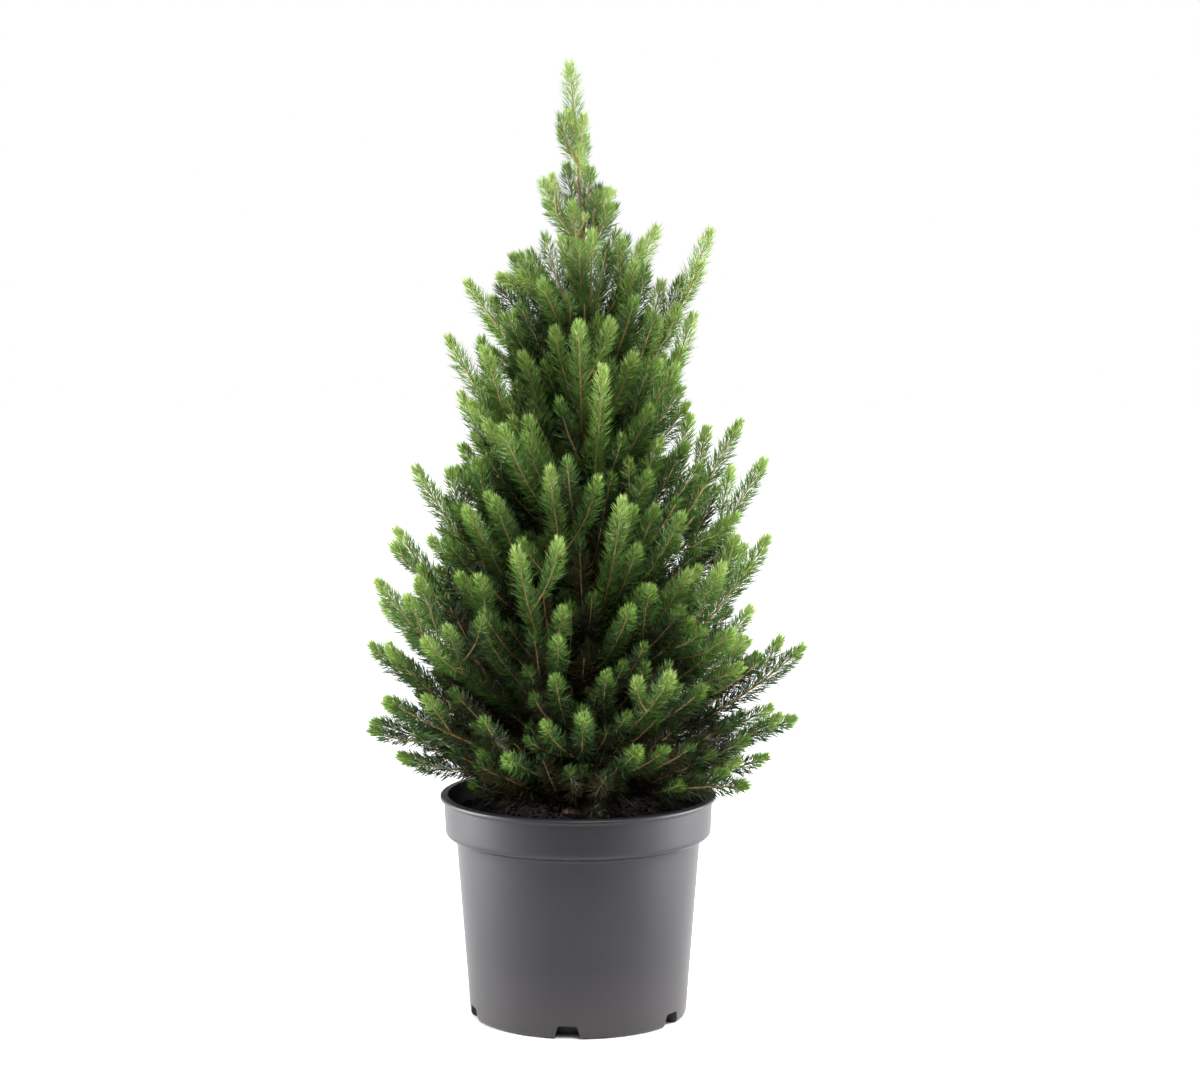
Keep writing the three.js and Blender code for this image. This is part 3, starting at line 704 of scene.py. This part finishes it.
def twigTube(shoot, start):
    # rings along a shoot, closed at both ends
    path = stretch(shoot["path"], start, 1)
    length = pathLength(path)
    count = max(3, round(length / twig["step"])) + 1
    t = np.linspace(0, 1, count)
    along, side, over = acrossPath(path, t)
    swell = (shoot["stem"] * twig["slim"] - twig["tipRadius"]) * (1 - t) ** twig["taper"]
    radius = (twig["tipRadius"] + swell)[:, None]
    centre = pointOn(path, t)
    rings = []
    for k in range(twig["sides"]):
        turn = 2 * math.pi * k / twig["sides"]
        rings.append(centre + (side * math.cos(turn) + over * math.sin(turn)) * radius)
    points = np.stack(rings, axis=1).reshape(-1, 3)
    walls = []
    for i in range(count - 1):
        for k in range(twig["sides"]):
            here, beside = i * twig["sides"] + k, i * twig["sides"] + (k + 1) % twig["sides"]
            walls.append([here, beside, beside + twig["sides"], here + twig["sides"]])
    old = np.repeat((1 - t[1:]) * length > twig["youngRun"], twig["sides"])
    last = (count - 1) * twig["sides"]
    ends = [[*range(twig["sides"] - 1, -1, -1)], [*range(last, last + twig["sides"])]]
    return points, np.array(walls), np.array(ends), old.astype(int)


twigPoints, twigWalls, twigEnds, twigSlots, endSlots = [], [], [], [], []
reached = 0
for mass in masses:
    for shoot in shootsOf(mass):
        onBough = shoot is mass["main"] and mass["tierIndex"] < plant["boughTiers"]
        points, walls, ends, old = twigTube(shoot, twig["insideBark"] * shoot["bareTo"] if onBough else 0)
        twigPoints.append(points)
        twigWalls.append(walls + reached)
        twigEnds.append(ends + reached)
        twigSlots.append(old)
        endSlots.append(old[[0, -1]])
        reached += len(points)
twigFaces = [np.concatenate(twigWalls), np.concatenate(twigEnds)]
twigMesh = meshFromArrays("twigs", np.concatenate(twigPoints), twigFaces, [*twigSlots, *endSlots])
addPiece("twigs", twigMesh, [youngTwig, oldTwig], [mass["name"] for mass in masses])

# bark: the trunk and the bare boughs, with the low scales of young spruce bark
bark = {
    "trunkSides": 22, "trunkStep": 2.6, "inSoil": 3, "inLeader": 2, "boughSides": 12, "boughStep": 3,
    # how much thicker a bough is near its foot
    "swellAt": [0, 0.12, 0.3, 1], "swells": [1.75, 1.4, 1.22, 1],
    # the scales: their size, how far they are drawn out upwards, and the finer ones among them
    "scale": 4.5, "upright": 0.55, "finer": 2.3, "finerShare": 0.6, "relief": 0.42,
}


def ringMatrix(centre, side, over, radius):
    along = np.cross(side, over)
    matrix = Matrix.Identity(4)
    for column, axis in enumerate((side * radius, over * radius, along * radius, centre)):
        for row in range(3):
            matrix[row][column] = axis[row]
    return matrix


def growLimb(form, matrices, sides):
    # a disc at the foot, drawn out ring by ring
    disc = bmesh.ops.create_circle(form, cap_ends=True, radius=1, segments=sides)
    verts = disc["verts"]
    face = verts[0].link_faces[0]
    bmesh.ops.transform(form, matrix=matrices[0], verts=verts)
    for before, after in zip(matrices, matrices[1:]):
        grown = bmesh.ops.extrude_face_region(form, geom=[face])["geom"]
        face = next(part for part in grown if isinstance(part, bmesh.types.BMFace))
        bmesh.ops.transform(form, matrix=after @ before.inverted(), verts=list(face.verts))


barkForm = bmesh.new()
trunkFoot = plant["soilLevel"] - bark["inSoil"]
count = round((plant["trunkTop"] - trunkFoot) / bark["trunkStep"])
heights = np.linspace(trunkFoot, plant["trunkTop"] + bark["inLeader"], count)
xAxis = np.array([1.0, 0, 0])
yAxis = np.array([0, 1.0, 0])
growLimb(barkForm, [ringMatrix(trunkAt(height), xAxis, yAxis, trunkRadius(max(height, plant["soilLevel"])))
                    for height in heights], bark["trunkSides"])
for mass in masses:
    if mass["tierIndex"] >= plant["boughTiers"]:
        continue
    path = stretch(mass["path"], 0, mass["main"]["bareTo"])
    t = np.linspace(0, 1, max(4, round(pathLength(path) / bark["boughStep"])))
    along, side, over = acrossPath(path, t)
    radii = mass["stem"] * np.interp(t, bark["swellAt"], bark["swells"])
    growLimb(barkForm, [ringMatrix(pointOn(path, t[i]), side[i], over[i], radii[i]) for i in range(len(t))],
             bark["boughSides"])
bmesh.ops.recalc_face_normals(barkForm, faces=barkForm.faces)
barkForm.normal_update()
for vert in barkForm.verts:
    place = Vector((vert.co.x, vert.co.y, vert.co.z * bark["upright"])) / bark["scale"]
    scales = noise.noise(place) + bark["finerShare"] * noise.noise(place * bark["finer"])
    vert.co += vert.normal * scales * bark["relief"]
bmesh.ops.scale(barkForm, vec=(mm, mm, mm), verts=barkForm.verts)
barkMesh = bpy.data.meshes.new("bark")
barkForm.to_mesh(barkMesh)
barkForm.free()

# young spruce bark: matt, thin scales of grey-brown over a warmer skin
barkMaterial, shader = newMaterial("young_spruce_bark", "#6a4c38", Roughness=0.9)
place = addNode(barkMaterial, "ShaderNodeTexCoord")
drawnUp = addNode(barkMaterial, "ShaderNodeMapping", {"Scale": (1, 1, 0.5)}, {"Vector": (place, "Object")})
flakes = addNoise(barkMaterial, (drawnUp, "Vector"), bark["scale"], Detail=6, Roughness=0.65)
ramp = addRamp(barkMaterial, flakes, [(0.36, "#3e2c21"), (0.66, "#8b6b50")])
barkMaterial.node_tree.links.new(ramp.outputs["Color"], shader.inputs["Base Color"])
addRelief(barkMaterial, shader, flakes, strength=0.6, depth=0.4)
boughNodes = [f"{mass['name']}_bough" for mass in masses if mass["tierIndex"] < plant["boughTiers"]]
addPiece("bark", barkMesh, [barkMaterial], ["trunk", *boughNodes])

# pot: turned from one outline, its corners rounded, five drain notches cut from its bottom edge,
# three that face the front and two behind
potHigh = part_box("pot")[1]
pot = {
    "steps": 144, "rim": potHigh.x / mm, "height": potHigh.z / mm, "lip": 3, "lipRise": 0.4,
    "collar": 92.4, "collarFoot": 128.2, "collarTaper": 1.1, "collarSink": 0.6, "collarWall": 2.6,
    "bodyTop": 84, "bodyFoot": 74.8, "footInset": 0.4, "bodyHeight": 125, "wall": 1.8,
    # inside: the floor, and a shelf that slopes out behind the collar
    "floor": 3, "floorInset": 1, "shelfRise": 2.8, "shelfSlope": 5,
    "notchTurns": [-164, -95.4, -31, 44.7, 120.3], "notchRounding": 1.5,
    "notchFoot": 18.4, "notchTop": 13, "notchHeight": 9.7, "notchDepth": 17,
    # spare: how far a cutting form stands out of what it cuts
    "spare": 5, "spareOut": 12, "spareBelow": 4,
}


def turned(outline, corners, steps):
    # outline: (radius, height) from the axis round to the axis; corners: (place in it, rounding)
    form = bmesh.new()
    verts = [form.verts.new((radius, 0, height)) for radius, height in outline]
    edges = [form.edges.new(pair) for pair in zip(verts, verts[1:])]
    bmesh.ops.spin(form, geom=verts + edges, cent=(0, 0, 0), axis=(0, 0, 1), angle=2 * math.pi, steps=steps,
                   use_merge=True)
    bmesh.ops.remove_doubles(form, verts=form.verts, dist=0.001)
    for number, rounding in corners:
        radius, height = outline[number]
        ring = [edge for edge in form.edges if all(
            abs(math.hypot(vert.co.x, vert.co.y) - radius) < near and abs(vert.co.z - height) < near
            for vert in edge.verts)]
        bmesh.ops.bevel(form, geom=ring, offset=rounding, segments=4, profile=0.5, affect="EDGES",
                        material=-1)
    bmesh.ops.recalc_face_normals(form, faces=form.faces)
    return form


def meshOf(form, name):
    bmesh.ops.scale(form, vec=(mm, mm, mm), verts=form.verts)
    mesh = bpy.data.meshes.new(name)
    form.to_mesh(mesh)
    form.free()
    return mesh


def notchBlocks(margin):
    form = bmesh.new()
    top = pot["notchHeight"] + margin
    slope = (pot["notchTop"] - pot["notchFoot"]) / pot["notchHeight"]
    inner = pot["bodyFoot"] - pot["notchDepth"] - margin
    outer = pot["bodyFoot"] + pot["spareOut"]
    for turn in pot["notchTurns"]:
        block = bmesh.ops.create_cube(form, size=1)["verts"]
        for vert in block:
            height = top if vert.co.z > 0 else -pot["spareBelow"]
            half = (pot["notchFoot"] + slope * min(height, pot["notchHeight"])) / 2 + margin
            vert.co = (outer if vert.co.x > 0 else inner, math.copysign(half, vert.co.y), height)
        edges = {edge for vert in block for edge in vert.link_edges}
        roof = [edge for edge in edges if all(vert.co.z > 0 for vert in edge.verts)
                and edge.verts[0].co.y * edge.verts[1].co.y > 0]
        facing = Matrix.Rotation(math.radians(turn), 3, "Z")
        bmesh.ops.rotate(form, cent=(0, 0, 0), matrix=facing, verts=block)
        bmesh.ops.bevel(form, geom=roof, offset=pot["notchRounding"], segments=3, profile=0.5,
                        affect="EDGES", material=-1)
    bmesh.ops.recalc_face_normals(form, faces=form.faces)
    return form


def cutMesh(mesh, cutter):
    # one mesh less another, as a new mesh
    holders = [bpy.data.objects.new("cutting", part) for part in (mesh, cutter)]
    for holder in holders:
        scene.collection.objects.link(holder)
    cutting = holders[0].modifiers.new("cut", "BOOLEAN")
    cutting.operation = "DIFFERENCE"
    cutting.solver = "EXACT"
    cutting.object = holders[1]
    cut = holders[0].evaluated_get(bpy.context.evaluated_depsgraph_get())
    result = bpy.data.meshes.new_from_object(cut)
    for holder in holders:
        bpy.data.objects.remove(holder)
    return result


def heldLine(start, end, shares):
    # a straight line with rings near its ends, which keep the shading of the roundings off it
    return [start, *[(start[0] + (end[0] - start[0]) * share, start[1] + (end[1] - start[1]) * share)
                     for share in shares], end]


lipFoot = pot["height"] - pot["lip"]
shellOutline = [
    (0, 0), *heldLine((pot["bodyFoot"] - pot["footInset"], 0), (pot["bodyTop"], pot["bodyHeight"]),
                      (0.1, 0.95)),
    *heldLine((pot["collar"] - pot["collarTaper"], pot["collarFoot"] - pot["collarSink"]),
              (pot["collar"], lipFoot - pot["lipRise"]), (0.16, 0.94)),
    (pot["rim"], lipFoot), (pot["rim"], pot["height"]), (0, pot["height"]),
]
inside = pot["collar"] - pot["collarWall"]
shelf = pot["collarFoot"] + pot["shelfRise"]
floorRadius = pot["bodyFoot"] - pot["wall"] - pot["floorInset"]
shelfFoot = (pot["bodyTop"] - pot["wall"], shelf - pot["shelfSlope"])
hollowTop = pot["height"] + pot["spare"]
hollowOutline = [
    (0, pot["floor"]), (floorRadius, pot["floor"]), shelfFoot, (inside, shelf), (inside, hollowTop),
    (0, hollowTop),
]
shellCorners = [(1, 4), (4, 1.3), (5, 2.2), (8, 0.5), (9, 0.9), (10, 1.3)]
solid = meshOf(turned(shellOutline, shellCorners, pot["steps"]), "shell")
hollow = meshOf(turned(hollowOutline, [(1, 3), (2, 1), (3, 1.5)], pot["steps"]), "hollow")
pockets = meshOf(notchBlocks(pot["wall"]), "pockets")
notches = meshOf(notchBlocks(0), "notches")
potMesh = cutMesh(cutMesh(solid, cutMesh(hollow, pockets)), notches)
potMesh.name = "pot_shell"
potMesh.set_sharp_from_angle(angle=math.radians(32))

# polypropylene, injection moulded: a satin skin, grey with a trace of violet
potPlastic, shader = newMaterial("moulded_polypropylene", "#1d1b20", Roughness=0.4, IOR=1.38)
place = addNode(potPlastic, "ShaderNodeTexCoord")
cloud = addNoise(potPlastic, (place, "Object"), 50, Detail=4)
shade = addRamp(potPlastic, cloud, [(0.3, "#1a191d"), (0.7, "#201e23")])
# a film of dried compost dust on the lowest 50 mm of the body
split = addNode(potPlastic, "ShaderNodeSeparateXYZ", links={"Vector": (place, "Object")})
low = addNode(potPlastic, "ShaderNodeMapRange", {"From Min": 50 * mm, "From Max": 0, "To Max": 0.16},
              {"Value": (split, "Z")})
dust = addNode(potPlastic, "ShaderNodeMix", {"data_type": "RGBA", 7: toLinear("#57504a")},
               {6: (shade, "Color"), "Factor": (low, "Result")})
grain = addNoise(potPlastic, (place, "Object"), 1.2, Detail=2)
potPlastic.node_tree.links.new(dust.outputs[2], shader.inputs["Base Color"])
addRelief(potPlastic, shader, grain, strength=0.12, depth=0.1)
addPiece("pot_shell", potMesh, [potPlastic], ["pot"])

# compost: an uneven surface with crumbs of peat and bark on it
compost = {
    "gap": 0.4, "rings": 34, "steps": 120, "lumps": 14, "lumpHeight": 2.2, "smallLumps": 4,
    "smallShare": 0.5, "sink": 0.6, "fall": 2, "fallStart": 40, "fallRun": 45,
}


def soilTop(x, y):
    radius = math.hypot(x, y)
    outward = min(1, max(0, (radius - compost["fallStart"]) / compost["fallRun"]))
    level = plant["soilLevel"] - compost["fall"] * outward
    lumps = noise.noise(Vector((x, y, 0)) / compost["lumps"])
    lumps += compost["smallShare"] * noise.noise(Vector((x, y, 9)) / compost["smallLumps"])
    return level + lumps * compost["lumpHeight"] - compost["sink"]


gap = compost["gap"]
soilRim = inside - gap
soilOutline = [
    (0, pot["floor"] + gap), (floorRadius - gap, pot["floor"] + gap),
    (shelfFoot[0] - gap, shelfFoot[1] + gap), (soilRim, shelf + gap),
    *[(soilRim * (1 - i / compost["rings"]), plant["soilLevel"]) for i in range(compost["rings"] + 1)],
]
soilForm = turned(soilOutline, [], compost["steps"])
for vert in soilForm.verts:
    if vert.co.z > plant["soilLevel"] - near:
        vert.co.z = soilTop(vert.co.x, vert.co.y)
soilPockets = meshOf(notchBlocks(pot["wall"] + gap), "soil_pockets")
soilMesh = cutMesh(meshOf(soilForm, "soil"), soilPockets)
soilMesh.name = "compost_bed"

# peat compost: black-brown and damp, with no shine
peat, shader = newMaterial("peat_compost", "#1d1611", Roughness=0.95)
place = addNode(peat, "ShaderNodeTexCoord")
lumps = addNoise(peat, (place, "Object"), 4, Detail=5, Roughness=0.7)
shade = addRamp(peat, lumps, [(0.35, "#0e0a08"), (0.7, "#261c14")])
peat.node_tree.links.new(shade.outputs["Color"], shader.inputs["Base Color"])
addRelief(peat, shader, lumps, strength=0.8, depth=1.2)
addPiece("compost_bed", soilMesh, [peat], ["soil"])

# crumbs: more small ones than large, of peat and some of them of bark
crumb = {
    "count": 1500, "seed": 8, "inRim": 2, "least": 0.6, "range": 1.5, "fewLarge": 2.5,
    "sides": ((0.8, 2.2), (0.7, 1.2), (0.5, 0.9)), "rough": 0.22, "tilt": 0.4, "rise": 0.2, "bark": 0.3,
}

crumbForm = bmesh.new()
bmesh.ops.create_icosphere(crumbForm, subdivisions=1, radius=1)
crumbPoints = np.array([vert.co for vert in crumbForm.verts])
crumbFaces = np.array([[vert.index for vert in face.verts] for face in crumbForm.faces])
crumbForm.free()
chance = np.random.RandomState(crumb["seed"])
allPoints, allFaces, allSlots = [], [], []
for number in range(crumb["count"]):
    radius = (soilRim - crumb["inRim"]) * math.sqrt(chance.rand())
    angle = chance.uniform(0, 2 * math.pi)
    x, y = radius * math.cos(angle), radius * math.sin(angle)
    size = crumb["least"] + crumb["range"] * chance.rand() ** crumb["fewLarge"]
    sides = [chance.uniform(*limits) * size for limits in crumb["sides"]]
    unevenness = chance.uniform(-crumb["rough"], crumb["rough"], (len(crumbPoints), 1))
    rough = crumbPoints * (1 + unevenness) * sides
    turn = Matrix.Rotation(chance.uniform(0, 2 * math.pi), 3, "Z")
    tilt = Matrix.Rotation(chance.uniform(-crumb["tilt"], crumb["tilt"]), 3, "X")
    spin = np.array(turn @ tilt)
    allPoints.append(rough @ spin.T + [x, y, soilTop(x, y) + crumb["rise"] * size])
    allFaces.append(crumbFaces + number * len(crumbPoints))
    allSlots.append(np.full(len(crumbFaces), int(chance.rand() < crumb["bark"])))
darkCrumb, _ = newMaterial("peat_crumb", "#19120b", Roughness=0.95)
barkCrumb, _ = newMaterial("bark_crumb", "#35261a", Roughness=0.9)
crumbMesh = meshFromArrays("compost_crumbs", np.concatenate(allPoints), [np.concatenate(allFaces)], allSlots)
addPiece("compost_crumbs", crumbMesh, [darkCrumb, barkCrumb], ["soil"])

# a plain white sheet of floor that ends a little in front of the pot, so that the pot's collar
# mirrors the dark beyond its edge
paper = {"half": 2.4, "front": -0.5}
floorForm = bmesh.new()
bmesh.ops.create_grid(floorForm, x_segments=1, y_segments=1, size=paper["half"],
                      matrix=Matrix.Translation((0, paper["front"] + paper["half"], 0)))
floorMesh = bpy.data.meshes.new("floor")
floorForm.to_mesh(floorMesh)
floorForm.free()
floor = bpy.data.objects.new("floor", floorMesh)
scene.collection.objects.link(floor)
whitePaper, _ = newMaterial("white_paper", "#f6f6f6", Roughness=0.9)
floorMesh.materials.append(whitePaper)

world = bpy.data.worlds.new("studio")
world.use_nodes = True
world.node_tree.nodes["Background"].inputs["Color"].default_value = (1, 1, 1, 1)
studio = {"front": 0.02, "sides": 2.5, "sidePower": 4, "top": 1.45, "topPower": 2, "back": 0.7}

# light comes in from the sides, from above and from behind, and hardly any from the front
way = addNode(world, "ShaderNodeTexCoord")
ways = addNode(world, "ShaderNodeSeparateXYZ", links={"Vector": (way, "Generated")})
level = addNode(world, "ShaderNodeMath", {"operation": "ABSOLUTE"}, {0: (ways, "X")})
sideways = addNode(world, "ShaderNodeMath", {"operation": "POWER", 1: studio["sidePower"]},
                   {0: (level, "Value")})
high = addNode(world, "ShaderNodeMath", {"operation": "MAXIMUM", 1: 0}, {0: (ways, "Z")})
above = addNode(world, "ShaderNodeMath", {"operation": "POWER", 1: studio["topPower"]},
                {0: (high, "Value")})
behind = addNode(world, "ShaderNodeMath", {"operation": "MAXIMUM", 1: 0}, {0: (ways, "Y")})
light = None
for side, source in (("sides", sideways), ("top", above), ("back", behind)):
    links = {0: (source, "Value"), 2: (light, "Value")} if light else {0: (source, "Value")}
    light = addNode(world, "ShaderNodeMath",
                    {"operation": "MULTIPLY_ADD", 1: studio[side], 2: studio["front"]}, links)
# the backdrop itself is plain white
rays = addNode(world, "ShaderNodeLightPath")
seen = addNode(world, "ShaderNodeMix", {"B": 1}, {"Factor": (rays, "Is Camera Ray"), "A": (light, "Value")})
world.node_tree.links.new(seen.outputs["Result"], world.node_tree.nodes["Background"].inputs["Strength"])
scene.world = world
scene.view_settings.view_transform = "Standard"
scene.view_settings.look = "None"

lamps = [
    {"name": "key", "place": (0.5, -1.7, 2.5), "size": 1.4, "power": 90},
    {"name": "left_softbox", "place": (-1.3, 0.1, 0.2), "size": 0.9, "power": 57},
    {"name": "right_softbox", "place": (1.3, 0.1, 0.2), "size": 0.9, "power": 53},
]
aimPoint = Vector((0, 0, 0.2))
for lamp in lamps:
    data = bpy.data.lights.new(lamp["name"], "AREA")
    data.size = lamp["size"]
    data.energy = lamp["power"]
    holder = bpy.data.objects.new(lamp["name"], data)
    holder.location = lamp["place"]
    holder.rotation_euler = (aimPoint - holder.location).to_track_quat("-Z", "Y").to_euler()
    scene.collection.objects.link(holder)
